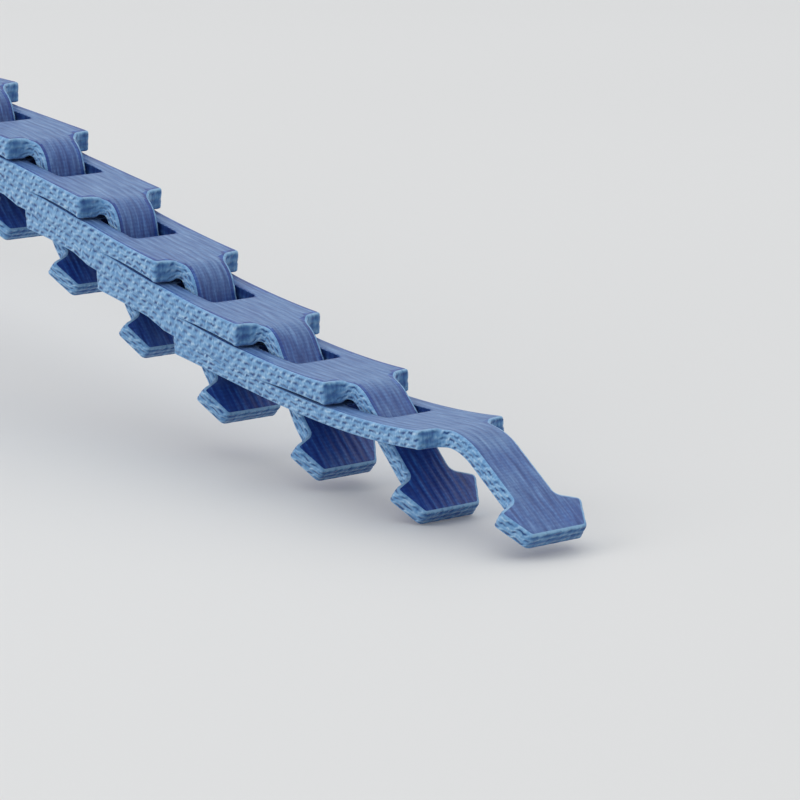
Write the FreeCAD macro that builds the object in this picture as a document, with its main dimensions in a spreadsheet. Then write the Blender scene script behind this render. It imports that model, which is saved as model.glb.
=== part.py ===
import FreeCAD, Part
import math
import os
import Sketcher

# A length of linked wedge belt: twenty-one elastomer links of one kind, each a thin tapered strip with
# three slots and, at the front, a narrow neck that dives down and ends in a pointed cross-head.
# The head of every link hangs under the three links in front of it and pins them to each other.
# Frame: +X along the belt towards the free head, +Y across it, +Z up, origin on the floor under the
# middle of the box. The belt lies as a low arch: both ends on the floor, the middle raised.

V = FreeCAD.Vector

doc = FreeCAD.newDocument("wedge_belt")
sheet = doc.addObject("Spreadsheet::Sheet", "Sizes")

DIMENSIONS = [
    ("link_count", 21),         # links in this length
    ("top_width", 13.0),        # belt width over the top
    ("link_pitch", 18.0),       # shoulder to shoulder along the belt
    ("ply_thickness", 2.2),     # one link's strip
    ("body_pitches", 2.85),     # strip length behind the shoulder, in pitches
    ("depth_rate", 2.66),       # how far the strip dives below the belt line per pitch
    ("rock_rise", 0.2),         # cubic part of that dive, which lets neighbours rock on each other
    ("rock_centre", 1.3),       # where along the strip the cubic part turns, in pitches
    ("tail_taper", 0.15),       # share of the width lost at the tail
    ("flank_angle", 18.0),      # each flank leans in by this much, in degrees
    ("slot_width", 7.0),
    ("slot_length", 10.5),
    ("slot_corner", 0.8),       # cut off each corner of a slot
    ("slot_first", 0.69),       # middle of each slot behind the shoulder, in pitches
    ("slot_second", 1.557),
    ("slot_third", 2.45),
    ("tail_corner", 1.6),       # cut off each tail corner
    ("neck_width", 6.2),
    ("free_radius", 10.0),      # outer radius of the bend in a neck that holds nothing
    ("seated_radius", 7.0),     # the same in a neck that holds its three links
    ("free_dive", 40.0),        # how far such necks turn down, in degrees
    ("seated_dive", 76.5),
    ("free_run", 6.8),          # straight neck below the bend
    ("seated_run", 5.75),
    ("neck_give", 0.055),       # longer run for each degree that the belt bends over the links held
    ("lift_radius", 3.0),       # inner radius where a seated head bends back up
    ("seated_lift", 37.0),      # how far it bends back up, in degrees
    ("neck_tip", 0.8),          # straight neck above the flare
    ("flare_length", 1.3),      # neck to the ears
    ("flare_round", 1.0),       # hollow rounding where the neck widens
    ("point_length", 4.2),      # ears to the leading edge
    ("ear_width", 12.0),
    ("lead_width", 8.0),
    ("arch_angle", 18.7),       # steepest slope of the arch, in degrees
    ("arch_shift", 0.8),        # pitches by which the arch starts before the free end
    ("arch_hollow", 4.75),      # pitches in each hollow foot of the arch
    ("arch_crown", 5.5),        # pitches from a foot to the top of the crown
    ("arch_power", 1.25),       # how evenly the crown bends, 1 being a true arc
    ("arch_far_share", 0.896),  # the far side of the arch is a little less steep
]
for row, (alias, value) in enumerate(DIMENSIONS, start=1):
    cell = f"B{row}"
    sheet.set(f"A{row}", alias)
    sheet.set(cell, str(value))
    sheet.setAlias(cell, alias)
doc.recompute()


def size(alias):
    return float(sheet.get(alias))


PITCH = size("link_pitch")
LINK_COUNT = int(size("link_count"))
SEATED_UNDER = 3        # links that one head holds
STATION_STEP = 0.5      # spacing of the strip's cross-sections, in pitches
CURVE_STEPS = 200       # steps per pitch when the belt line is followed


# The belt line: place is counted in pitches from the free link's shoulder towards the far end.
def slope_at(place):
    """Slope of the belt line: hollow at both feet of the arch, evenly bent over its crown."""
    near = math.radians(size("arch_angle"))
    far = -near * size("arch_far_share")
    hollow, crown = size("arch_hollow"), size("arch_crown")
    done = place + size("arch_shift")
    left = 2.0 * (hollow + crown) - done
    if left <= 0.0:
        return 0.0
    steepest, foot = (near, done) if done < left else (far, left)
    if foot < hollow:
        return steepest * math.sin(math.pi / 2.0 * foot / hollow)
    return steepest * (1.0 - ((foot - hollow) / crown) ** size("arch_power"))


def follow_belt_line(first, last):
    """Points of the belt line at every step from first to last, with the free shoulder at zero."""
    line = {0: (0.0, 0.0)}
    step = 1.0 / CURVE_STEPS
    for direction, end in ((1, last), (-1, first)):
        x, z = 0.0, 0.0
        for n in range(round(abs(end) * CURVE_STEPS)):
            slope = slope_at(direction * (n + 0.5) * step)
            x -= direction * PITCH * step * math.cos(slope)
            z += direction * PITCH * step * math.sin(slope)
            line[direction * (n + 1)] = (x, z)
    return line


BELT_LINE = follow_belt_line(-1, LINK_COUNT + 4)


def dive(behind):
    """Depth of a strip's top below the belt line, behind its shoulder by so many pitches."""
    rise, centre = size("rock_rise"), size("rock_centre")
    return size("depth_rate") * behind + rise * ((behind - centre) ** 3 + centre ** 3)


def strip_point(shoulder, behind, below=0.0):
    """World point under the belt line on the link whose shoulder is at that place."""
    place = shoulder + behind
    low = math.floor(place * CURVE_STEPS)
    part = place * CURVE_STEPS - low
    (x0, z0), (x1, z1) = BELT_LINE[low], BELT_LINE[low + 1]
    slope = slope_at(place)
    depth = dive(behind) + below
    x = x0 + part * (x1 - x0) - depth * math.sin(slope)
    z = z0 + part * (z1 - z0) - depth * math.cos(slope)
    return V(x, 0.0, z)


def strip_angle(shoulder, behind):
    """Angle by which the strip rises towards the shoulder, in degrees."""
    reach = 0.01
    ahead = strip_point(shoulder, behind - reach)
    back = strip_point(shoulder, behind + reach)
    return math.degrees(math.atan2(ahead.z - back.z, ahead.x - back.x))


def origin_plane(body, role):
    return next(f for f in body.Origin.OriginFeatures if f.Role == role)


def new_sketch(body, name, role, offset):
    sketch = body.newObject("Sketcher::SketchObject", name)
    sketch.AttachmentSupport = [(origin_plane(body, role), "")]
    sketch.MapMode = "FlatFace"
    sketch.AttachmentOffset = offset
    return sketch


def closed_outline(sketch, points):
    """Straight lines round the points, joined at their ends."""
    corners = [V(x, y, 0) for x, y in points]
    for start, end in zip(corners, corners[1:] + corners[:1]):
        sketch.addGeometry(Part.LineSegment(start, end))
    for n in range(len(corners)):
        sketch.addConstraint(Sketcher.Constraint("Coincident", n, 2, (n + 1) % len(corners), 1))


def measure(sketch, name, kind, ends, value, expression):
    """A named dimension between two line ends, driven by the sheet."""
    number = sketch.addConstraint(Sketcher.Constraint(kind, *ends, value))
    sketch.renameConstraint(number, name)
    sketch.setExpression(f"Constraints.{name}", expression)


def strip_section(body, number, behind, offset, corners_cut):
    """One cross-section of the strip: flat top, flanks leaning in, narrower towards the tail."""
    sketch = new_sketch(body, f"section_{number}", "YZ_Plane", offset)
    share = behind / size("body_pitches")
    top = size("top_width") * (1.0 - size("tail_taper") * share) - 2.0 * corners_cut * size("tail_corner")
    thick = size("ply_thickness")
    bottom = top - 2.0 * thick * math.tan(math.radians(size("flank_angle")))
    closed_outline(sketch, [(-top / 2, 0), (top / 2, 0), (bottom / 2, -thick), (-bottom / 2, -thick)])
    sketch.addConstraint(Sketcher.Constraint("Symmetric", 0, 1, 0, 2, -2))
    sketch.addConstraint(Sketcher.Constraint("PointOnObject", 0, 1, -1))
    sketch.addConstraint(Sketcher.Constraint("Symmetric", 2, 1, 2, 2, -2))
    top_rule = f"Sizes.top_width * (1 - Sizes.tail_taper * {behind} / Sizes.body_pitches)"
    top_rule += f" - {2 * corners_cut} * Sizes.tail_corner"
    lean_rule = "2 * Sizes.ply_thickness * tan(Sizes.flank_angle * 1 deg)"
    measure(sketch, "top", "DistanceX", (0, 1, 0, 2), top, top_rule)
    measure(sketch, "bottom", "DistanceX", (2, 2, 2, 1), bottom, f"{top_rule} - {lean_rule}")
    measure(sketch, "thick", "DistanceY", (1, 2, 1, 1), thick, "Sizes.ply_thickness")
    return sketch


def slot_outline(body, name, offset):
    """A slot with its corners cut off, punched square through the strip."""
    sketch = new_sketch(body, name, "XY_Plane", offset)
    long, wide, cut = size("slot_length") / 2, size("slot_width") / 2, size("slot_corner")
    closed_outline(sketch, [
        (-long + cut, -wide), (long - cut, -wide), (long, -wide + cut), (long, wide - cut),
        (long - cut, wide), (-long + cut, wide), (-long, wide - cut), (-long, -wide + cut),
    ])
    for below, above in ((0, 5), (1, 4), (2, 3), (7, 6)):
        sketch.addConstraint(Sketcher.Constraint("Symmetric", below, 1, above, 1, -1))
    for behind, ahead in ((0, 1), (7, 2)):
        sketch.addConstraint(Sketcher.Constraint("Symmetric", behind, 1, ahead, 1, -2))
    measure(sketch, "wide", "DistanceY", (0, 1, 5, 1), 2 * wide, "Sizes.slot_width")
    measure(sketch, "long", "DistanceX", (7, 1, 2, 1), 2 * long, "Sizes.slot_length")
    measure(sketch, "cut_along", "DistanceX", (1, 1, 2, 1), cut, "Sizes.slot_corner")
    measure(sketch, "cut_across", "DistanceY", (1, 1, 2, 1), cut, "Sizes.slot_corner")
    return sketch


def worked_out(rule):
    """Value of a rule that is written for the sheet."""
    return float(sheet.evalExpression(rule))


def by_seating(free, seated, held):
    """Rule for a size that goes from free to seated with the links held."""
    return f"({free} + ({seated} - {free}) * {held} / {SEATED_UNDER})"


def neck_sketch(body, name, role, along, up, turn):
    """A sketch across (YZ) or along (XY) the neck, turned down with it, all three by rules."""
    across = role == "YZ_Plane"
    ahead, above = worked_out(along), worked_out(up)
    base = V(0, above, ahead) if across else V(ahead, 0, above)
    axis = V(1, 0, 0) if across else V(0, 1, 0)
    offset = FreeCAD.Placement(base, FreeCAD.Rotation(axis, worked_out(turn)))
    sketch = new_sketch(body, name, role, offset)
    sketch.setExpression("AttachmentOffset.Base." + ("z" if across else "x"), along)
    sketch.setExpression("AttachmentOffset.Base." + ("y" if across else "z"), up)
    sketch.setExpression("AttachmentOffset.Rotation.Angle", f"{turn} * 1 deg")
    return sketch


def bend_neck(body, name, sketch, radius_rule, angle_rule, downwards):
    """Revolves the neck's cross-section about an axis below its top face, or above it."""
    wide, thick, radius = size("neck_width"), size("ply_thickness"), worked_out(radius_rule)
    closed_outline(sketch, [(-wide / 2, 0), (wide / 2, 0), (wide / 2, -thick), (-wide / 2, -thick)])
    start, end, height = (-wide, wide, -radius) if downwards else (wide, -wide, radius)
    axis = sketch.addGeometry(Part.LineSegment(V(start, height, 0), V(end, height, 0)), True)
    sketch.addConstraint(Sketcher.Constraint("Symmetric", 0, 1, 0, 2, -2))
    sketch.addConstraint(Sketcher.Constraint("PointOnObject", 0, 1, -1))
    sketch.addConstraint(Sketcher.Constraint("Vertical", 1))
    sketch.addConstraint(Sketcher.Constraint("Horizontal", 2))
    sketch.addConstraint(Sketcher.Constraint("Vertical", 3))
    sketch.addConstraint(Sketcher.Constraint("Symmetric", axis, 1, axis, 2, -2))
    measure(sketch, "wide", "DistanceX", (0, 1, 0, 2), wide, "Sizes.neck_width")
    measure(sketch, "thick", "DistanceY", (1, 2, 1, 1), thick, "Sizes.ply_thickness")
    to_axis = (axis, 1, -1, 1) if downwards else (-1, 1, axis, 1)
    measure(sketch, "radius", "DistanceY", to_axis, radius, radius_rule)
    axis_ends = (axis, 1, axis, 2) if downwards else (axis, 2, axis, 1)
    measure(sketch, "axis", "DistanceX", axis_ends, 2 * wide, "2 * Sizes.neck_width")
    bend = body.newObject("PartDesign::Revolution", name)
    bend.Profile = sketch
    bend.ReferenceAxis = (sketch, ["Axis0"])
    bend.Angle = worked_out(angle_rule)
    bend.setExpression("Angle", angle_rule)


def run_outline(sketch, run_rule):
    """The straight stretch of the neck between its two bends."""
    neck, run = size("neck_width") / 2, worked_out(run_rule)
    closed_outline(sketch, [(0, -neck), (run, -neck), (run, neck), (0, neck)])
    sketch.addConstraint(Sketcher.Constraint("Symmetric", 0, 1, 3, 1, -1))
    sketch.addConstraint(Sketcher.Constraint("PointOnObject", 0, 1, -2))
    sketch.addConstraint(Sketcher.Constraint("Horizontal", 0))
    sketch.addConstraint(Sketcher.Constraint("Vertical", 1))
    sketch.addConstraint(Sketcher.Constraint("Horizontal", 2))
    measure(sketch, "neck", "DistanceY", (0, 1, 3, 1), 2 * neck, "Sizes.neck_width")
    measure(sketch, "run", "DistanceX", (0, 1, 1, 1), run, run_rule)


def head_outline(sketch):
    """Tip of the neck, flare to the two ears, and the taper to the leading edge."""
    neck, ear, lead = size("neck_width") / 2, size("ear_width") / 2, size("lead_width") / 2
    to_flare = size("neck_tip")
    to_ear = to_flare + size("flare_length")
    to_lead = to_ear + size("point_length")
    closed_outline(sketch, [
        (0, -neck), (to_flare, -neck), (to_ear, -ear), (to_lead, -lead),
        (to_lead, lead), (to_ear, ear), (to_flare, neck), (0, neck),
    ])
    for below, above in ((0, 7), (1, 6), (2, 5), (3, 4)):
        sketch.addConstraint(Sketcher.Constraint("Symmetric", below, 1, above, 1, -1))
    sketch.addConstraint(Sketcher.Constraint("PointOnObject", 0, 1, -2))
    sketch.addConstraint(Sketcher.Constraint("Horizontal", 0))
    measure(sketch, "neck", "DistanceY", (0, 1, 7, 1), 2 * neck, "Sizes.neck_width")
    measure(sketch, "ear", "DistanceY", (2, 1, 5, 1), 2 * ear, "Sizes.ear_width")
    measure(sketch, "lead", "DistanceY", (3, 1, 4, 1), 2 * lead, "Sizes.lead_width")
    measure(sketch, "tip", "DistanceX", (0, 1, 1, 1), to_flare, "Sizes.neck_tip")
    measure(sketch, "flare", "DistanceX", (1, 1, 2, 1), to_ear - to_flare, "Sizes.flare_length")
    measure(sketch, "point", "DistanceX", (2, 1, 3, 1), to_lead - to_ear, "Sizes.point_length")


def pad_ply(body, name, sketch):
    """One ply's thickness below the sketch."""
    pad = body.newObject("PartDesign::Pad", name)
    pad.Profile = sketch
    pad.Reversed = True
    pad.Length = size("ply_thickness")
    pad.setExpression("Length", "Sizes.ply_thickness")
    return pad


def round_edges(body, name, feature, middles, alias):
    """Rounds the feature's edges that pass through these points."""
    doc.recompute()
    edges = feature.Shape.Edges
    names = []
    for middle in middles:
        nearest = min(range(len(edges)), key=lambda n: edges[n].CenterOfMass.distanceToPoint(middle))
        names.append(f"Edge{nearest + 1}")
    rounding = body.newObject("PartDesign::Fillet", name)
    rounding.Base = (feature, names)
    rounding.Radius = size(alias)
    rounding.setExpression("Radius", f"Sizes.{alias}")


def local_frame(shoulder, behind, placement):
    """Where a cross-section sits, seen from the link's own frame: along, up and its angle."""
    point = placement.inverse().multVec(strip_point(shoulder, behind))
    angle = strip_angle(shoulder, behind) - strip_angle(shoulder, 0.0)
    return point.x, point.z, angle


def build_neck(body, shoulder):
    """The neck turns down from the shoulder, runs through the links it holds, and its head bends back up."""
    held = min(shoulder, SEATED_UNDER)
    bend = math.degrees(slope_at(shoulder - held) - slope_at(shoulder))
    radius = by_seating("Sizes.free_radius", "Sizes.seated_radius", held)
    dive_angle = by_seating("Sizes.free_dive", "Sizes.seated_dive", held)
    run = by_seating("Sizes.free_run", "Sizes.seated_run", held)
    run = f"({run} + Sizes.neck_give * {bend:.4f})"
    lift = by_seating("0", "Sizes.seated_lift", held)
    tilt = f"({dive_angle} - {lift})"
    cos_dive, sin_dive = f"cos({dive_angle} * 1 deg)", f"sin({dive_angle} * 1 deg)"

    shoulder_cut = neck_sketch(body, "neck_section", "YZ_Plane", "0", "0", "0")
    bend_neck(body, "neck_bend", shoulder_cut, radius, dive_angle, downwards=True)
    along, up = f"{radius} * {sin_dive}", f"-{radius} * (1 - {cos_dive})"
    run_sketch = neck_sketch(body, "run_outline", "XY_Plane", along, up, dive_angle)
    run_outline(run_sketch, run)
    pad_ply(body, "neck_run", run_sketch)
    along, up = f"{along} + {run} * {cos_dive}", f"{up} - {run} * {sin_dive}"
    if held > 0:
        lift_cut = neck_sketch(body, "lift_section", "YZ_Plane", along, up, dive_angle)
        bend_neck(body, "head_lift", lift_cut, "Sizes.lift_radius", lift, downwards=False)
        along = f"{along} + Sizes.lift_radius * ({sin_dive} - sin({tilt} * 1 deg))"
        up = f"{up} + Sizes.lift_radius * ({cos_dive} - cos({tilt} * 1 deg))"
    head_sketch = neck_sketch(body, "head_outline", "XY_Plane", along, up, tilt)
    head_outline(head_sketch)
    head = pad_ply(body, "cross_head", head_sketch)
    flare_middles = [
        head_sketch.AttachmentOffset.multVec(V(size("neck_tip"), side, -size("ply_thickness") / 2))
        for side in (-size("neck_width") / 2, size("neck_width") / 2)
    ]
    round_edges(body, "flare_rounding", head, flare_middles, "flare_round")


def build_link(number):
    """One link: lofted strip, three slots, bent neck, cross-head."""
    shoulder = number - 1
    lean = FreeCAD.Rotation(V(0, 1, 0), -strip_angle(shoulder, 0.0))
    placement = FreeCAD.Placement(strip_point(shoulder, 0.0), lean)
    body = doc.addObject("PartDesign::Body", f"link_{number:02d}")
    body.Label = f"link_{number:02d}"

    count = int(size("body_pitches") / STATION_STEP)
    stations = [n * STATION_STEP for n in range(count + 1)]
    stations += [size("body_pitches") - size("tail_corner") / PITCH, size("body_pitches")]
    sections = []
    for n, behind in enumerate(stations):
        along, up, angle = local_frame(shoulder, behind, placement)
        offset = FreeCAD.Placement(V(0, up, along), FreeCAD.Rotation(V(1, 0, 0), -angle))
        corners_cut = int(n == len(stations) - 1)
        sections.append(strip_section(body, n, behind, offset, corners_cut))
    strip = body.newObject("PartDesign::AdditiveLoft", "strip")
    strip.Profile = sections[0]
    strip.Sections = sections[1:]
    strip.Ruled = True

    build_neck(body, shoulder)

    for alias in ("slot_first", "slot_second", "slot_third"):
        along, up, angle = local_frame(shoulder, size(alias), placement)
        offset = FreeCAD.Placement(V(along, 0, up), FreeCAD.Rotation(V(0, 1, 0), -angle))
        pocket = body.newObject("PartDesign::Pocket", alias)
        pocket.Profile = slot_outline(body, alias + "_outline", offset)
        pocket.SideType = "Symmetric"
        pocket.Length = 4 * size("ply_thickness")
        pocket.setExpression("Length", "4 * Sizes.ply_thickness")
    body.Placement = placement
    return body


links = [build_link(number) for number in range(1, LINK_COUNT + 1)]
doc.recompute()

# The origin goes under the middle of the whole belt, on the floor.
box = FreeCAD.BoundBox()
for link in links:
    box.add(link.Shape.optimalBoundingBox())
shift = V(-box.Center.x, -box.Center.y, -box.ZMin)
for link in links:
    moved = FreeCAD.Placement(link.Placement)
    moved.Base = moved.Base + shift
    link.Placement = moved
doc.recompute()

for item in doc.Objects:
    if "Invalid" in item.State or "Error" in item.State:
        raise RuntimeError(f"{item.Label} did not build: {item.State}")
for link in links:
    if link.Shape.isNull() or not link.Shape.isValid() or len(link.Shape.Solids) != 1:
        raise RuntimeError(f"{link.Label} is not one valid solid")

os.makedirs("parts", exist_ok=True)
for link in links:
    link.Shape.exportStep(f"parts/{link.Label}.step")
print(f"{len(links)} links, {links[5].Shape.Volume:.1f} mm3 each, box {box.XLength:.2f} x "
      f"{box.YLength:.2f} x {box.ZLength:.2f} mm, shift {shift.x:.4f} {shift.z:.4f}")
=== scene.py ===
import math

import bpy
import numpy as np
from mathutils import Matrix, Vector
from mathutils.geometry import delaunay_2d_cdt


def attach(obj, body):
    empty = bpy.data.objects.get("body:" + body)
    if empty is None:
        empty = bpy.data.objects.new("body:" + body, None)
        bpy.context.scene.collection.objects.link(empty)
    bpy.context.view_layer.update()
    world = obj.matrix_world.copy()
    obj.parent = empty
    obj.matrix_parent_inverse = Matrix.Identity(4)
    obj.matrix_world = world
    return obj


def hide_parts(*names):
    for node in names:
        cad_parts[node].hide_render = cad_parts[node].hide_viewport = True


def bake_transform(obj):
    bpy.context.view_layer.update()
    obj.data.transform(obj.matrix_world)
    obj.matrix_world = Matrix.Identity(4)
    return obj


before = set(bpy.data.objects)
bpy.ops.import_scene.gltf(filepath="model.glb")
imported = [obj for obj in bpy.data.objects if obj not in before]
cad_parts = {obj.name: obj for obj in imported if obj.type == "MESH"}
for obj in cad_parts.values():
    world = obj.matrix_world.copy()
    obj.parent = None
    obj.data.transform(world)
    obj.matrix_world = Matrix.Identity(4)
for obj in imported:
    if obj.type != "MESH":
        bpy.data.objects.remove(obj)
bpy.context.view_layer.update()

MM = 0.001

# Sizes in millimetres, degrees and pitches, the same as the solids have
LINK_COUNT = len(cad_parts)
PITCH = 18.0
TOP_WIDTH = 13.0
PLY = 2.2
BODY_PITCHES = 2.85
DEPTH_RATE = 2.66
ROCK_RISE = 0.2
ROCK_CENTRE = 1.3
TAIL_CORNER = 1.6
SLOT_WIDTH = 7.0
SLOT_LENGTH = 10.5
SLOT_CORNER = 0.9
SLOT_PLACES = (0.69, 1.557, 2.45)
NECK_WIDTH = 6.2
FREE_NECK = {"radius": 10.0, "dive": 40.0, "run": 6.8, "lift": 0.0, "sweep": 3.0}
SEATED_NECK = {"radius": 7.0, "dive": 76.5, "run": 5.75, "lift": 37.0, "sweep": 3.0}
NECK_GIVE = 0.055
NECK_TIP = 0.8
FLARE_LENGTH = 1.3
POINT_LENGTH = 4.2
EAR_WIDTH = 12.0
LEAD_WIDTH = 8.0
ARCH_ANGLE = 18.7
ARCH_SHIFT = 0.8
ARCH_HOLLOW = 4.75
ARCH_CROWN = 5.5
ARCH_POWER = 1.25
ARCH_FAR_SHARE = 0.896
SEATED_UNDER = 3
FREE_SHOULDER = (192.9438, 0.0, 11.8174)

# How the dressed link differs from its solid: plies that close up, steeper flanks, tighter folds.
# LOWERED gives how much thicker a strip is below, at places in pitches behind its shoulder.
# SHOULDER_AHEAD gives where, beside the neck, the strip's thickness has gone and where it is still whole.
RAISED = 0.12
TAIL_RAISED = 0.35
TAIL_RAISED_FROM = 2.3
LOWERED = (
    (0.0, 0.36), (0.15, 0.22), (0.3, 0.10), (0.5, 0.10), (0.75, 0.38),
    (1.2, 0.47), (1.5, 0.60), (1.9, 0.66), (2.1, 0.06),
)
FREE_LOWERED = -0.15
NECK_RAISED = -0.10
NECK_LOWERED = -0.12
STRIP_RUN_IN = 3.0
SHOULDER_AHEAD = (1.0, 0.2)
SHOULDER_BESIDE = 0.6
TAIL_TAPER = 0.21
FLANK_ANGLE = 9.0
FLANK_RUN_IN = 1.5
FOLD_SHARE = 0.6
SWEEP_RADIUS = 10.0
FIRST_SLOT_CLOSED = 2.0

# Radii of its corners, seen from above
TAIL_END_CORNER = 0.5
TAIL_SIDE_CORNER = 1.2
SHOULDER_CORNER = 0.8
NECK_CORNER = 2.4
FLARE_CORNER = 1.0
EAR_CORNER = 0.6
LEAD_CORNER = 0.7

# Its fabric: round rims, wider where no other link covers them, ribs on the faces and knitted edges
RIM = 0.14
BARE_RIM = 0.40
BARE_PITCHES = (0.9, 1.1)
RIB_SPACING = 1.1
RIB_HEIGHT = 0.05
RIB_SINK = 0.2
RIB_RUN_IN = (0.1, 0.8)
STITCH_LENGTH = 1.7
STITCH_ROWS = 3
STITCH_SLANT = 0.75
STITCH_DEPTH = 0.11
PIT_LENGTH = 0.27
PIT_HEIGHT = 0.26
# Crests between the pits, painted lighter as painted highlights on the loops
CREST_LENGTH = 0.24
CREST_HEIGHT = 0.34
WEFT_SPACING = 0.55
CUT_LAYERS = 2.5
CUT_SHARPNESS = 3
# Painted highlight along the upper rim of the cross cuts, over this share of the thickness
CUT_HIGHLIGHT_SHARE = 0.18
# Worn, lighter blues fade out over this length forward of the shoulder: wear, plus painted shade on the
# seated necks and heads; the free link's head is painted lighter as painted light
WEAR_AND_LIGHT_AHEAD = 10.0
MOST_WORN_AND_LIT = 0.7
FREE_HEAD_LIT = 0.55

# Its mesh: steps along the rims and over the faces, and rows down the walls as shares of the thickness
EDGE_STEP = 0.27
SLOT_STEP = 0.5
FACE_ALONG = 0.9
FACE_ACROSS = RIB_SPACING / 4
FACE_CLEAR = 0.2
EDGE_ROWS = (0.0, 0.035, 0.09, 0.18, 0.30, 0.42, 0.54, 0.66, 0.78, 0.88, 0.955, 1.0)
SLOT_ROWS = (0.0, 0.04, 0.12, 0.5, 0.88, 0.96, 1.0)
TOP, UNDERSIDE = 0.0, 1.0
# Material slots: faces, edges, and the slots' walls, which carry painted shade
FACE_FINISH, EDGE_FINISH, SLOT_PAINTED_SHADE = range(3)

# Where each further link lies in the noise of the materials
LAY_SHIFT = (7.3, 0.0, 2.0)

# Colours from dark to light, as seen on a screen, with their places on the scale of tones
FACE_BLUES = (
    (0.28, (8, 34, 108)), (0.46, (15, 50, 130)), (0.62, (30, 76, 156)), (0.82, (66, 120, 192)),
)
# Lighter blues for wear and painted light on the strips and the free head, against painted shade on the
# seated necks and heads
WORN_AND_LIT_BLUES = (
    (0.28, (62, 95, 146)), (0.46, (88, 125, 172)), (0.62, (114, 149, 188)), (0.82, (146, 176, 206)),
)
YARN_BLUES = (
    (0.30, (82, 136, 192)), (0.46, (118, 168, 214)), (0.60, (146, 190, 228)), (0.76, (186, 216, 240)),
)
# Cut blues, darker than the yarn: the cuts' own layers, plus painted shade on faces that turn along the
# belt
CUT_SHADED_BLUES = (
    (0.30, (40, 80, 140)), (0.45, (60, 106, 160)), (0.58, (82, 130, 178)), (0.80, (136, 178, 212)),
)
# The slots' walls get darker blues: painted shade inside the slots
SLOT_SHADE_BLUES = (
    (0.30, (20, 44, 104)), (0.46, (34, 66, 134)), (0.60, (52, 92, 156)), (0.80, (88, 130, 184)),
)
FLOOR_GREYS = ((0.3, (223, 223, 222)), (0.7, (227, 227, 226)))
# Painted shade in the knit's pits
PIT_SHADE_BLUE = (30, 74, 136)
SHEEN_BLUE = (150, 182, 240)

# Floor and lights, in metres and watts
FLOOR_SIZE = 12.0
SKY_COLOUR = (0.95, 0.97, 1.0, 1.0)
SKY_STRENGTH = 0.56
OVERHEAD = {"place": (0.05, 0.30, 0.9), "aim": (0.12, 0.0, 0.0), "size": 2.2, "power": 8.6}
FRONT = {"place": (-0.10, -0.80, 0.45), "aim": (0.12, 0.0, 0.01), "size": 0.6, "power": 2.4}

# Camera: aim from the free shoulder, lens and sensor in millimetres, angles in degrees, the rest in metres
AIM_BEHIND, AIM_ABOVE = 11.5665, 0.7782
CAMERA_TURN, CAMERA_RISE = 52.5, 12.7
CAMERA_DISTANCE = 0.4174
LENS, SENSOR = 162.0, 36.0
NEAREST, FARTHEST = 0.01, 50.0


def neck_length(neck):
    """Length of a neck's top from the shoulder to its flare."""
    bends = neck["radius"] * math.radians(neck["dive"]) + neck["sweep"] * math.radians(neck["lift"])
    return bends + neck["run"] + NECK_TIP


TO_FLARE = neck_length(SEATED_NECK)
TO_EAR = TO_FLARE + FLARE_LENGTH
TO_LEAD = TO_EAR + POINT_LENGTH
TAIL = BODY_PITCHES * PITCH


# The flat blank that every link is punched from: u along it, forward of the shoulder, v across it
def strip_half_width(u):
    behind = max(0.0, -u) / PITCH
    return TOP_WIDTH / 2 * (1.0 - TAIL_TAPER * behind / BODY_PITCHES)


def rounded(corners, step):
    """Points at even steps round a closed outline whose corners are (u, v, radius)."""
    path = []
    count = len(corners)
    for n, (u, v, radius) in enumerate(corners):
        here = np.array([u, v])
        before = np.array(corners[n - 1][:2]) - here
        after = np.array(corners[(n + 1) % count][:2]) - here
        before /= np.linalg.norm(before)
        after /= np.linalg.norm(after)
        half = math.acos(np.clip(before @ after, -1.0, 1.0)) / 2
        reach = radius / math.tan(half)
        middle = here + (before + after) / np.linalg.norm(before + after) * radius / math.sin(half)
        first, last = here + before * reach - middle, here + after * reach - middle
        turn = math.atan2(first[0] * last[1] - first[1] * last[0], first @ last)
        pieces = max(2, int(abs(turn) * radius / step) + 2)
        for share in np.linspace(0.0, 1.0, pieces):
            c, s = math.cos(turn * share), math.sin(turn * share)
            path.append(middle + (first[0] * c - first[1] * s, first[0] * s + first[1] * c))
    path = np.array(path + path[:1])
    lengths = np.concatenate([[0.0], np.cumsum(np.linalg.norm(np.diff(path, axis=0), axis=1))])
    total = lengths[-1]
    places = np.linspace(0.0, total, round(total / step), endpoint=False)
    points = np.stack([np.interp(places, lengths, path[:, k]) for k in (0, 1)], axis=1)
    return points, places, total


def outward(points):
    """Unit normals of a loop that runs anticlockwise."""
    along = np.roll(points, -1, axis=0) - np.roll(points, 1, axis=0)
    along /= np.linalg.norm(along, axis=1)[:, None]
    return np.stack([along[:, 1], -along[:, 0]], axis=1)


def blank_outline():
    shoulder, tail = strip_half_width(0.0), strip_half_width(-TAIL)
    neck, ear, lead = NECK_WIDTH / 2, EAR_WIDTH / 2, LEAD_WIDTH / 2
    near_side = [
        (-TAIL, -tail + TAIL_CORNER, TAIL_END_CORNER),
        (-TAIL + TAIL_CORNER, -tail, TAIL_SIDE_CORNER),
        (0.0, -shoulder, SHOULDER_CORNER),
        (0.0, -neck, NECK_CORNER),
        (TO_FLARE, -neck, FLARE_CORNER),
        (TO_EAR, -ear, EAR_CORNER),
        (TO_LEAD, -lead, LEAD_CORNER),
    ]
    far_side = [(u, -v, radius) for u, v, radius in reversed(near_side)]
    return rounded(near_side + far_side, EDGE_STEP)


def slot_outline(place, closed):
    """A slot's rim, closed up by this much at its front end."""
    wide = SLOT_WIDTH / 2
    back = -place * PITCH - SLOT_LENGTH / 2
    front = back + SLOT_LENGTH - closed
    corners = [(back, -wide), (front, -wide), (front, wide), (back, wide)]
    return rounded([(u, v, SLOT_CORNER) for u, v in corners], SLOT_STEP)


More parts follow.
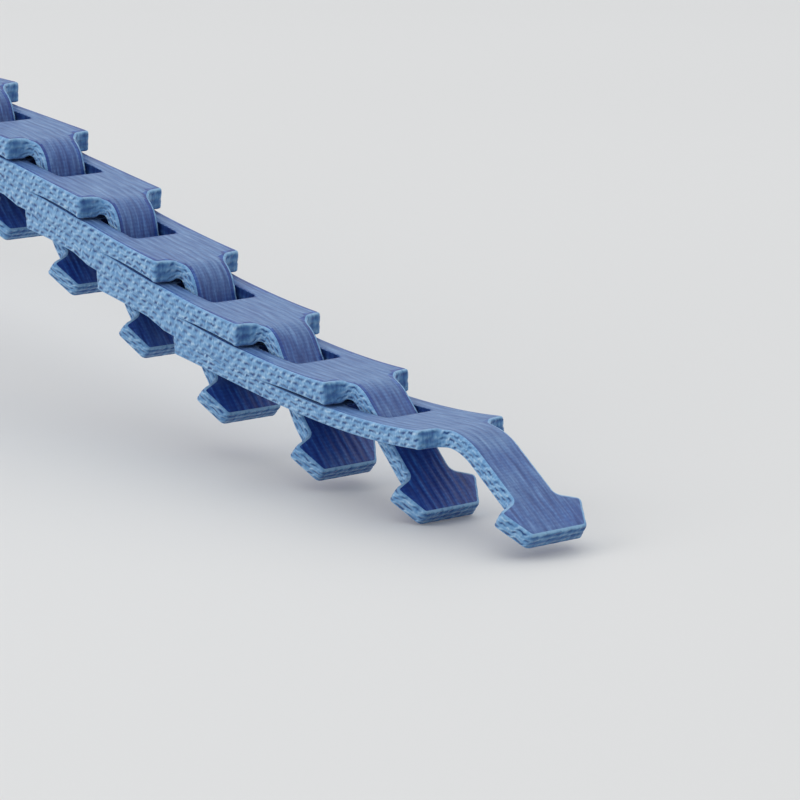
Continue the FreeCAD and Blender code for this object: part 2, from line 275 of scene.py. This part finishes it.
def inside(points, loop):
    """Which points lie inside a closed loop, by crossings."""
    found = np.zeros(len(points), bool)
    u, v = points[:, 0], points[:, 1]
    for (u0, v0), (u1, v1) in zip(loop, np.roll(loop, -1, axis=0)):
        if v0 == v1:
            continue
        crosses = (v0 > v) != (v1 > v)
        found ^= crosses & (u < (u1 - u0) * (v - v0) / (v1 - v0) + u0)
    return found


def distance_to(points, loop):
    gaps = np.linalg.norm(points[:, None, :] - loop[None, :, :], axis=2)
    return gaps.min(axis=1)


def smooth(low, high, value):
    """0 at low, 1 at high, with a soft start and end."""
    t = np.clip((value - low) / (high - low), 0.0, 1.0)
    return t * t * (3.0 - 2.0 * t)


def rim_inset(share, upper_rim):
    """How far the wall stands back at this share of the thickness, so that both rims are round."""
    rim = upper_rim if share < 0.5 else np.full_like(upper_rim, RIM)
    depth = min(share, 1.0 - share) * PLY
    near = np.clip(rim - depth, 0.0, None)
    return rim - np.sqrt(rim * rim - near * near)


def stitch(places, share, total):
    """The knitted edge: 1 in the pits between the loops, each row half a stitch on from the last."""
    count = round(total / STITCH_LENGTH)
    row = share * STITCH_ROWS
    number = min(math.floor(row), STITCH_ROWS - 1)
    across = row - number - 0.5
    along = places / total * count + 0.5 * number + STITCH_SLANT * across
    along = along - np.round(along)
    return np.exp(-(along / PIT_LENGTH) ** 2 - (across / PIT_HEIGHT) ** 2)


def wall(outline, shares, knitted):
    """Rows of a punched wall from the upper rim to the lower one, as flat u and v."""
    points, places, total = outline
    normal = outward(points)
    u = points[:, 0]
    leaning = smooth(0.0, -FLANK_RUN_IN, u) * np.abs(normal[:, 1]) * math.tan(math.radians(FLANK_ANGLE))
    upper_rim = np.full(len(u), RIM)
    if knitted:
        wide_to, narrow_from = BARE_PITCHES
        upper_rim += (BARE_RIM - RIM) * smooth(-narrow_from * PITCH, -wide_to * PITCH, u)
    rows = []
    for share in shares:
        push = -rim_inset(share, upper_rim)
        if knitted:
            push -= leaning * share * PLY
            push -= STITCH_DEPTH * stitch(places, share, total)
        rows.append(points + normal * push[:, None])
    return rows


class Blank:
    """The punched link laid flat: points as u, v, share of the depth and rise, faces and finishes."""

    def __init__(self, first_slot_closed):
        self.points, self.edge = [], []
        self.faces, self.finish = [], []
        walls = [self.add_wall(blank_outline(), EDGE_ROWS, True)]
        for place, closed in zip(SLOT_PLACES, (first_slot_closed, 0.0, 0.0)):
            walls.append(self.add_wall(slot_outline(place, closed), SLOT_ROWS, False))
        self.add_face([rows[0] for rows in walls], TOP)
        self.add_face([rows[-1] for rows in walls], UNDERSIDE)
        self.points = np.concatenate(self.points)
        self.edge = np.concatenate(self.edge)

    def add(self, flat, share, rise, edge):
        """Adds points at one share of the depth and gives their numbers."""
        first = sum(len(block) for block in self.points)
        count = len(flat)
        self.points.append(np.stack([flat[:, 0], flat[:, 1], np.full(count, share), rise], axis=1))
        self.edge.append(edge)
        return np.arange(first, first + count)

    def add_wall(self, outline, shares, knitted):
        """A wall of quads, with the place along it, the depth and how far it cuts across the link."""
        points, places, _ = outline
        count = len(points)
        across_cut = np.abs(outward(points)[:, 0]) ** CUT_SHARPNESS
        rows = []
        for share, flat in zip(shares, wall(outline, shares, knitted)):
            edge = np.stack([places, np.full(count, share), across_cut], axis=1)
            rows.append(self.add(flat, share, np.zeros(count), edge))
        for upper, lower in zip(rows, rows[1:]):
            for n in range(count):
                after = (n + 1) % count
                quad = (upper[n], lower[n], lower[after], upper[after])
                self.faces.append(quad if knitted else quad[::-1])
                self.finish.append(EDGE_FINISH if knitted else SLOT_PAINTED_SHADE)
        return rows

    def add_face(self, rims, share):
        """A face between the outer rim and the slots, with ribs that run along the link."""
        ready = np.concatenate(self.points)
        loops = [ready[rim][:, :2] for rim in rims]
        lines = int(TOP_WIDTH / 2 / FACE_ACROSS)
        across = np.arange(-lines, lines + 1) * FACE_ACROSS
        along = np.arange(-TAIL, TO_LEAD, FACE_ALONG)
        grid = np.stack(np.meshgrid(along, across), axis=-1).reshape(-1, 2)
        keep = inside(grid, loops[0])
        for loop in loops[1:]:
            keep &= ~inside(grid, loop)
        grid = grid[keep]
        clear = np.min([distance_to(grid, loop) for loop in loops], axis=0)
        grid, clear = grid[clear > FACE_CLEAR], clear[clear > FACE_CLEAR]
        ribs = 0.5 + 0.5 * np.cos(2.0 * math.pi * grid[:, 1] / RIB_SPACING)
        rise = RIB_HEIGHT * (ribs * smooth(*RIB_RUN_IN, clear) - RIB_SINK)
        nothing = np.zeros(len(grid))
        own = self.add(grid, share, rise, np.stack([grid[:, 0], nothing, nothing], axis=1))
        numbers = np.concatenate(rims + [own])
        for a, b, c in numbers[self.triangles(loops, grid)].tolist():
            self.faces.append((a, b, c) if share == TOP else (c, b, a))
            self.finish.append(FACE_FINISH)

    @staticmethod
    def triangles(loops, grid):
        """Triangles over the points of the loops and the grid, inside the first loop and no other."""
        flat = np.concatenate(loops + [grid])
        edges, first = [], 0
        for loop in loops:
            count = len(loop)
            edges += [(first + n, first + (n + 1) % count) for n in range(count)]
            first += count
        within_outline, tolerance = 2, 1e-7
        made = delaunay_2d_cdt([Vector(p) for p in flat], edges, [], within_outline, tolerance)
        origin = np.array([ids[0] for ids in made[3]])
        corners = origin[np.array(made[2])]
        middles = flat[corners].mean(axis=1)
        in_slot = np.any([inside(middles, loop) for loop in loops[1:]], axis=0)
        return corners[~in_slot]


# The belt line, counted in pitches from the free link's shoulder, and the links that lie along it
def slope_at(place):
    """Slope of the belt line: hollow at both feet of the arch, rounded over its crown."""
    done = np.asarray(place) + ARCH_SHIFT
    left = 2.0 * (ARCH_HOLLOW + ARCH_CROWN) - done
    steepest = np.radians(np.where(done < left, ARCH_ANGLE, -ARCH_ANGLE * ARCH_FAR_SHARE))
    foot = np.maximum(np.minimum(done, left), 0.0)
    hollow = np.sin(math.pi / 2.0 * foot / ARCH_HOLLOW)
    crown = 1.0 - (np.maximum(foot - ARCH_HOLLOW, 0.0) / ARCH_CROWN) ** ARCH_POWER
    return steepest * np.where(foot < ARCH_HOLLOW, hollow, crown)


LINE_STEP = 0.005
LINE_SPARE = 5.0
LINE_PLACES = np.arange(0.0, LINK_COUNT + LINE_SPARE, LINE_STEP)
LINE_SLOPES = slope_at(LINE_PLACES[:-1] + LINE_STEP / 2)
LINE_X = np.concatenate([[0.0], np.cumsum(-PITCH * LINE_STEP * np.cos(LINE_SLOPES))])
LINE_Z = np.concatenate([[0.0], np.cumsum(PITCH * LINE_STEP * np.sin(LINE_SLOPES))])


def strip_line(shoulder, behind):
    """Top middle line of a strip: x and z, with the free shoulder at zero."""
    place = shoulder + behind
    depth = DEPTH_RATE * behind + ROCK_RISE * ((behind - ROCK_CENTRE) ** 3 + ROCK_CENTRE ** 3)
    slope = slope_at(place)
    x = np.interp(place, LINE_PLACES, LINE_X) - depth * np.sin(slope)
    z = np.interp(place, LINE_PLACES, LINE_Z) - depth * np.cos(slope)
    return x, z


def strip_angle(shoulder, behind):
    reach = 0.01
    x0, z0 = strip_line(shoulder, behind + reach)
    x1, z1 = strip_line(shoulder, behind)
    return np.arctan2(z1 - z0, x1 - x0)


def own_neck(number):
    """A neck's sizes go from free to seated with the links held, and give where the belt bends."""
    shoulder = number - 1
    held = min(shoulder, SEATED_UNDER)
    neck = {}
    for name, free in FREE_NECK.items():
        neck[name] = free + (SEATED_NECK[name] - free) * held / SEATED_UNDER
    neck["run"] += NECK_GIVE * math.degrees(slope_at(shoulder - held) - slope_at(shoulder))
    return neck


def neck_course(neck, along):
    """Where a neck's top goes: forward, up and angle below the strip, at lengths from the shoulder."""
    radius, sweep = neck["radius"], neck["sweep"]
    dive, lift = math.radians(neck["dive"]), math.radians(neck["lift"])
    tilt = dive - lift
    past_turn = along - radius * dive
    past_run = past_turn - neck["run"]
    turned = np.clip(along / radius, 0.0, dive)
    run = np.clip(past_turn, 0.0, neck["run"])
    lifted = np.clip(past_run / sweep, 0.0, lift)
    ahead = np.maximum(past_run - sweep * lift, 0.0)
    x = radius * np.sin(turned) + run * math.cos(dive)
    x += sweep * (math.sin(dive) - np.sin(dive - lifted)) + ahead * math.cos(tilt)
    z = -radius * (1.0 - np.cos(turned)) - run * math.sin(dive)
    z += sweep * (math.cos(dive) - np.cos(dive - lifted)) - ahead * math.sin(tilt)
    return x, z, turned - lifted


def dressed_neck(number):
    """The solid's neck with a tighter fold and a wider sweep after it, its head in the same place."""
    neck = own_neck(number)
    if number == 1:
        return neck
    tilt = math.radians(neck["dive"] - neck["lift"])
    x, z, _ = neck_course(neck, np.array([neck_length(neck) - NECK_TIP]))
    fold = neck["radius"] * FOLD_SHARE
    ahead = x[0] + SWEEP_RADIUS * math.sin(tilt)
    below = -z[0] - fold - SWEEP_RADIUS * math.cos(tilt)
    both = fold + SWEEP_RADIUS
    run = math.sqrt(ahead ** 2 + below ** 2 - both ** 2)
    dive = math.atan2(below, ahead) + math.atan2(both, run)
    lift = math.degrees(dive - tilt)
    return {"radius": fold, "dive": math.degrees(dive), "run": run, "lift": lift, "sweep": SWEEP_RADIUS}


def bent(number, blank):
    """The blank's points in millimetres in the belt's own frame, bent as link number lies in it."""
    shoulder = number - 1.0
    u, v, share, rise = blank.points.T
    behind = np.maximum(0.0, -u) / PITCH
    strip_x, strip_z = strip_line(shoulder, behind)
    angle = strip_angle(shoulder, behind)
    lean = angle[u >= 0.0].mean()

    neck = dressed_neck(number)
    own_length = neck_length(neck)
    along = np.where(u < TO_FLARE, u * own_length / TO_FLARE, u - TO_FLARE + own_length)
    local_x, local_z, turned = neck_course(neck, np.maximum(along, 0.0))
    front = u > 0.0
    x = np.where(front, strip_x + local_x * math.cos(lean) - local_z * math.sin(lean), strip_x)
    z = np.where(front, strip_z + local_x * math.sin(lean) + local_z * math.cos(lean), strip_z)
    angle = np.where(front, lean - turned, angle)

    beside_neck = smooth(NECK_WIDTH / 2, NECK_WIDTH / 2 + SHOULDER_BESIDE, np.abs(v))
    beside_neck *= smooth(*SHOULDER_AHEAD, u)
    on_strip = np.maximum(smooth(0.0, -STRIP_RUN_IN, u), beside_neck)
    raised = NECK_RAISED + (RAISED - NECK_RAISED) * on_strip
    raised += TAIL_RAISED * smooth(TAIL_RAISED_FROM, BODY_PITCHES, behind)
    under = np.interp(behind, *zip(*LOWERED)) if number > 1 else FREE_LOWERED
    lowered = NECK_LOWERED + (under - NECK_LOWERED) * on_strip
    height = raised - share * (PLY + raised + lowered) + np.where(share < 0.5, rise, -rise)
    return np.stack([x - height * np.sin(angle), v, z + height * np.cos(angle)], axis=1)


def in_frame(points):
    return (points + np.array(FREE_SHOULDER)) * MM


# Materials
def srgb(red, green, blue):
    """A colour as seen on a screen, 0 to 255, made linear, with full alpha."""
    shares = (value / 255.0 for value in (red, green, blue))
    return (*(s / 12.92 if s <= 0.04045 else ((s + 0.055) / 1.055) ** 2.4 for s in shares), 1.0)


class Wiring:
    """Short ways to add nodes to one material."""

    def __init__(self, tree):
        self.nodes, self.links = tree.nodes, tree.links

    def put(self, socket, value):
        if isinstance(value, bpy.types.NodeSocket):
            self.links.new(value, socket)
        else:
            socket.default_value = value

    def math(self, operation, *values, clamp=False):
        node = self.nodes.new("ShaderNodeMath")
        node.operation = operation
        node.use_clamp = clamp
        for socket, value in zip(node.inputs, values):
            self.put(socket, value)
        return node.outputs[0]

    def weighted(self, start, *parts, clamp=False):
        """The start plus each part's value times its weight, held between 0 and 1 where clamp is set."""
        total = start
        for number, (value, weight) in enumerate(parts, 1):
            last = number == len(parts)
            total = self.math("MULTIPLY_ADD", value, weight, total, clamp=clamp and last)
        return total

    def wave(self, value, length):
        """A cosine that comes round once in every length."""
        return self.math("COSINE", self.math("MULTIPLY", value, 2.0 * math.pi / length))

    def ripple(self, value, length):
        """The same wave between 0 and 1."""
        return self.weighted(0.5, (self.wave(value, length), 0.5))

    def spot(self, along, length, across, height):
        """1 in the middle of a spot of this length and height, falling off round it."""
        reach = self.math("POWER", self.math("DIVIDE", along, length), 2.0)
        reach = self.math("ADD", reach, self.math("POWER", self.math("DIVIDE", across, height), 2.0))
        return self.math("EXPONENT", self.math("MULTIPLY", reach, -1.0))

    def attribute(self, name):
        """A point attribute of the mesh, whole and as its three parts."""
        node = self.nodes.new("ShaderNodeAttribute")
        node.attribute_name = name
        parts = self.nodes.new("ShaderNodeSeparateXYZ")
        self.links.new(node.outputs["Vector"], parts.inputs[0])
        return node.outputs["Vector"], parts.outputs

    def noise(self, vector, scale, detail):
        node = self.nodes.new("ShaderNodeTexNoise")
        self.put(node.inputs["Vector"], vector)
        node.inputs["Scale"].default_value = scale
        node.inputs["Detail"].default_value = detail
        return node.outputs["Fac"]

    def streaks(self, along, across, depth, along_scale, across_scale, detail):
        """Noise with a scale of its own each way, drawn out where that is small."""
        node = self.nodes.new("ShaderNodeCombineXYZ")
        self.links.new(self.math("MULTIPLY", along, along_scale), node.inputs["X"])
        self.links.new(self.math("MULTIPLY", across, across_scale), node.inputs["Y"])
        self.links.new(depth, node.inputs["Z"])
        return self.noise(node.outputs["Vector"], scale=1.0, detail=detail)

    def ramp(self, value, stops):
        node = self.nodes.new("ShaderNodeValToRGB")
        self.put(node.inputs["Fac"], value)
        elements = node.color_ramp.elements
        while len(elements) < len(stops):
            elements.new(0.5)
        for element, (position, colour) in zip(elements, stops):
            element.position = position
            element.color = srgb(*colour)
        return node.outputs["Color"]

    def mix(self, share, first, second):
        node = self.nodes.new("ShaderNodeMix")
        node.data_type = "RGBA"
        self.put(node.inputs["Factor"], share)
        self.put(node.inputs["A"], first)
        self.put(node.inputs["B"], second)
        return node.outputs["Result"]

    def bump(self, height, strength, distance):
        node = self.nodes.new("ShaderNodeBump")
        self.put(node.inputs["Height"], height)
        node.inputs["Strength"].default_value = strength
        node.inputs["Distance"].default_value = distance
        return node.outputs["Normal"]


def new_material(name):
    """An empty material with one shader, its wiring and the shader's sockets."""
    material = bpy.data.materials.new(name)
    material.use_nodes = True
    w = Wiring(material.node_tree)
    w.nodes.clear()
    output = w.nodes.new("ShaderNodeOutputMaterial")
    shader = w.nodes.new("ShaderNodeBsdfPrincipled")
    w.links.new(shader.outputs["BSDF"], output.inputs["Surface"])
    return material, w, shader.inputs


def woven_face():
    """Blue fabric face, lighter on the strip by wear and painted light: stripes along the link, streaks in
    them and a fine cross weave.
    """
    material, w, sockets = new_material("woven_face")
    lay, (along, across, depth) = w.attribute("lay")
    fine = w.noise(lay, scale=3.2, detail=5.0)
    wander = w.weighted(-0.45, (w.noise(lay, scale=0.35, detail=2.0), 0.9))
    stripes = w.ripple(w.math("ADD", across, wander), RIB_SPACING)
    weft = w.ripple(along, WEFT_SPACING)
    weave = w.weighted(0.0, (stripes, 0.7), (weft, 0.3))
    streaks = w.streaks(along, across, depth, along_scale=0.22, across_scale=2.6, detail=4.0)
    tone = w.weighted(-0.12, (weave, 0.16), (streaks, 0.85), (fine, 0.30))

    # Worn lighter on the strip and over the fold, less so down the neck, in broad patches of wear; partly
    # painted light: the seated necks and heads stay dark as painted shade under the belt, and the free
    # link is lifted by painted light
    from_shoulder = w.attribute("edge")[1][0]
    painted_light = w.attribute("painted_light")[1][0]
    on_strip = w.weighted(1.0, (from_shoulder, -1.0 / WEAR_AND_LIGHT_AHEAD), clamp=True)
    patches = w.math("SUBTRACT", w.noise(lay, scale=0.14, detail=4.0), 0.5)
    wear_and_light = w.weighted(on_strip, (painted_light, 1.0), (patches, 1.6), clamp=True)
    worn_and_lit = w.math("MULTIPLY", wear_and_light, MOST_WORN_AND_LIT)
    w.put(sockets["Base Color"], w.mix(worn_and_lit, w.ramp(tone, FACE_BLUES), w.ramp(tone, WORN_AND_LIT_BLUES)))
    w.put(sockets["Roughness"], w.weighted(0.37, (fine, 0.20)))
    height = w.weighted(0.0, (fine, 0.4), (weave, 0.6))
    w.put(sockets["Normal"], w.bump(height, strength=0.5, distance=0.10 * MM))
    sockets["Specular IOR Level"].default_value = 0.50
    sockets["Sheen Weight"].default_value = 0.20
    sockets["Sheen Roughness"].default_value = 0.45
    sockets["Sheen Tint"].default_value = srgb(*SHEEN_BLUE)
    return material


def cut_fabric(w, along, share, depth, fine, layers):
    """Tone of a cut through the fabric: streaks, and layers of this strength one below another."""
    streaks = w.streaks(along, share, depth, along_scale=1.7, across_scale=0.9, detail=3.0)
    return w.weighted(0.0, (fine, 0.3), (streaks, 0.7), (w.wave(share, 1.0 / CUT_LAYERS), layers))


def knitted_edge(total):
    """Cut edges: light blue knit on the flanks, with painted shade in its pits and painted highlights on
    its crests, and layers of fabric on the cross cuts.
    """
    material, w, sockets = new_material("knitted_edge")
    place, share, across_cut = w.attribute("edge")[1]
    lay, (lay_along, lay_across, _) = w.attribute("lay")
    fine = w.noise(lay, scale=3.0, detail=5.0)
    mottle = w.noise(lay, scale=0.7, detail=3.0)

    # Rows of stitches, a little uneven, each row half a stitch on from the last
    jitter = w.math("SUBTRACT", w.noise(lay, scale=0.8, detail=2.0), 0.5)
    row = w.weighted(0.0, (share, STITCH_ROWS), (jitter, 0.8))
    number = w.math("FLOOR", row)
    across = w.math("SUBTRACT", w.math("SUBTRACT", row, number), 0.5)
    per_length = round(total / STITCH_LENGTH) / total
    along = w.weighted(0.0, (place, per_length), (number, 0.5), (across, STITCH_SLANT), (jitter, 1.3))
    from_pit = w.math("SUBTRACT", along, w.math("ROUND", along))
    from_crest = w.math("SUBTRACT", 0.5, w.math("ABSOLUTE", from_pit))
    pits = w.spot(from_pit, PIT_LENGTH, across, PIT_HEIGHT)
    crest_highlights = w.spot(from_crest, CREST_LENGTH, across, CREST_HEIGHT)

    # The crests lighten the yarn: painted highlights on the loops
    light = w.weighted(0.0, (mottle, 0.35), (fine, 0.55), (crest_highlights, 0.20))
    # The pits are painted darker, as painted shade in the hollows between the loops, more in some patches
    # than others
    pit_shade = w.math("MULTIPLY", pits, w.weighted(-0.25, (mottle, 2.4)), clamp=True)
    knit = w.mix(pit_shade, w.ramp(light, YARN_BLUES), srgb(*PIT_SHADE_BLUE))

    # Cross cuts, lighter at the upper rim: a painted highlight
    upper_rim = w.math("MAXIMUM", w.weighted(1.0, (share, -1.0 / CUT_HIGHLIGHT_SHARE)), 0.0)
    cut = cut_fabric(w, lay_across, share, lay_along, fine, layers=0.10)
    cut = w.weighted(cut, (upper_rim, 0.25))
    # The cross cuts take the darker cut blues: their layered fabric, plus painted shade on the faces that
    # turn along the belt
    w.put(sockets["Base Color"], w.mix(across_cut, knit, w.ramp(cut, CUT_SHADED_BLUES)))
    w.put(sockets["Roughness"], w.weighted(0.66, (fine, 0.2)))
    height = w.weighted(0.0, (fine, 0.5), (pits, -1.0))
    w.put(sockets["Normal"], w.bump(height, strength=0.7, distance=0.18 * MM))
    sockets["Specular IOR Level"].default_value = 0.25
    sockets["Sheen Weight"].default_value = 0.30
    sockets["Sheen Roughness"].default_value = 0.5
    return material


def painted_shade_slot_wall():
    """The slots' walls: layers of cut fabric, streaked, painted dark blue as painted shade inside the
    slots.
    """
    material, w, sockets = new_material("painted_shade_slot_wall")
    place, share, _ = w.attribute("edge")[1]
    lay, lay_parts = w.attribute("lay")
    fine = w.noise(lay, scale=3.0, detail=5.0)
    cut = cut_fabric(w, place, share, lay_parts[0], fine, layers=0.08)
    w.put(sockets["Base Color"], w.ramp(cut, SLOT_SHADE_BLUES))
    w.put(sockets["Roughness"], w.weighted(0.62, (fine, 0.2)))
    w.put(sockets["Normal"], w.bump(cut, strength=0.6, distance=0.15 * MM))
    sockets["Specular IOR Level"].default_value = 0.25
    return material


def pale_floor():
    material, w, sockets = new_material("pale_floor")
    where = w.nodes.new("ShaderNodeNewGeometry").outputs["Position"]
    w.put(sockets["Base Color"], w.ramp(w.noise(where, scale=2.0, detail=2.0), FLOOR_GREYS))
    sockets["Roughness"].default_value = 0.6
    sockets["Specular IOR Level"].default_value = 0.2
    return material


# Links: the last one, with no neck in its first slot, keeps that slot at full length
held_blank, last_blank = Blank(FIRST_SLOT_CLOSED), Blank(0.0)
outline_length = blank_outline()[2]
finishes = (woven_face(), knitted_edge(outline_length), painted_shade_slot_wall())

for number in range(1, LINK_COUNT + 1):
    node = f"link_{number:02d}"
    blank = held_blank if number < LINK_COUNT else last_blank
    mesh = bpy.data.meshes.new(f"{node}_woven")
    mesh.from_pydata(in_frame(bent(number, blank)).tolist(), [], blank.faces)
    mesh.polygons.foreach_set("material_index", blank.finish)
    mesh.polygons.foreach_set("use_smooth", [True] * len(blank.faces))
    lay = blank.points[:, :3] + number * np.array(LAY_SHIFT)
    # The free link's neck and head are painted lighter: painted light, as it hangs free of the belt's
    # shade
    painted_light = np.zeros_like(lay)
    if number == 1:
        painted_light[:, 0] = FREE_HEAD_LIT
    for name, values in (("lay", lay), ("edge", blank.edge), ("painted_light", painted_light)):
        attribute = mesh.attributes.new(name, "FLOAT_VECTOR", "POINT")
        attribute.data.foreach_set("vector", values.ravel())
    for finish in finishes:
        mesh.materials.append(finish)
    mesh.update()
    piece = bpy.data.objects.new(f"{node}_woven", mesh)
    bpy.context.scene.collection.objects.link(piece)
    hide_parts(node)
    if number < LINK_COUNT:
        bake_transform(piece)
    else:
        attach(piece, node)

# Floor
bpy.ops.mesh.primitive_plane_add(size=FLOOR_SIZE, location=(0.0, 0.0, 0.0))
floor = bpy.context.object
floor.name = "floor"
floor.data.materials.append(pale_floor())

# Light
scene = bpy.context.scene
scene.view_settings.view_transform = "Standard"
world = bpy.data.worlds.new("studio")
world.use_nodes = True
sky = world.node_tree.nodes["Background"].inputs
sky["Color"].default_value = SKY_COLOUR
sky["Strength"].default_value = SKY_STRENGTH
scene.world = world


def soft_box(name, place, aim, size, power):
    data = bpy.data.lights.new(name, "AREA")
    data.shape = "RECTANGLE"
    data.size = data.size_y = size
    data.energy = power
    lamp = bpy.data.objects.new(name, data)
    lamp.location = place
    lamp.rotation_mode = "QUATERNION"
    lamp.rotation_quaternion = (Vector(aim) - Vector(place)).to_track_quat("-Z", "Y")
    scene.collection.objects.link(lamp)


soft_box("overhead", **OVERHEAD)
soft_box("front", **FRONT)

# Camera
aim = Vector((FREE_SHOULDER[0] - AIM_BEHIND, 0.0, FREE_SHOULDER[2] + AIM_ABOVE)) * MM
turn, rise = math.radians(CAMERA_TURN), math.radians(CAMERA_RISE)
back = Vector((math.sin(turn) * math.cos(rise), -math.cos(turn) * math.cos(rise), math.sin(rise)))
camera_data = bpy.data.cameras.new("camera")
camera_data.lens = LENS
camera_data.sensor_width = SENSOR
camera_data.clip_start, camera_data.clip_end = NEAREST, FARTHEST
camera = bpy.data.objects.new("camera", camera_data)
camera.location = aim + back * CAMERA_DISTANCE
camera.rotation_mode = "QUATERNION"
camera.rotation_quaternion = (-back).to_track_quat("-Z", "Y")
scene.collection.objects.link(camera)
scene.camera = camera
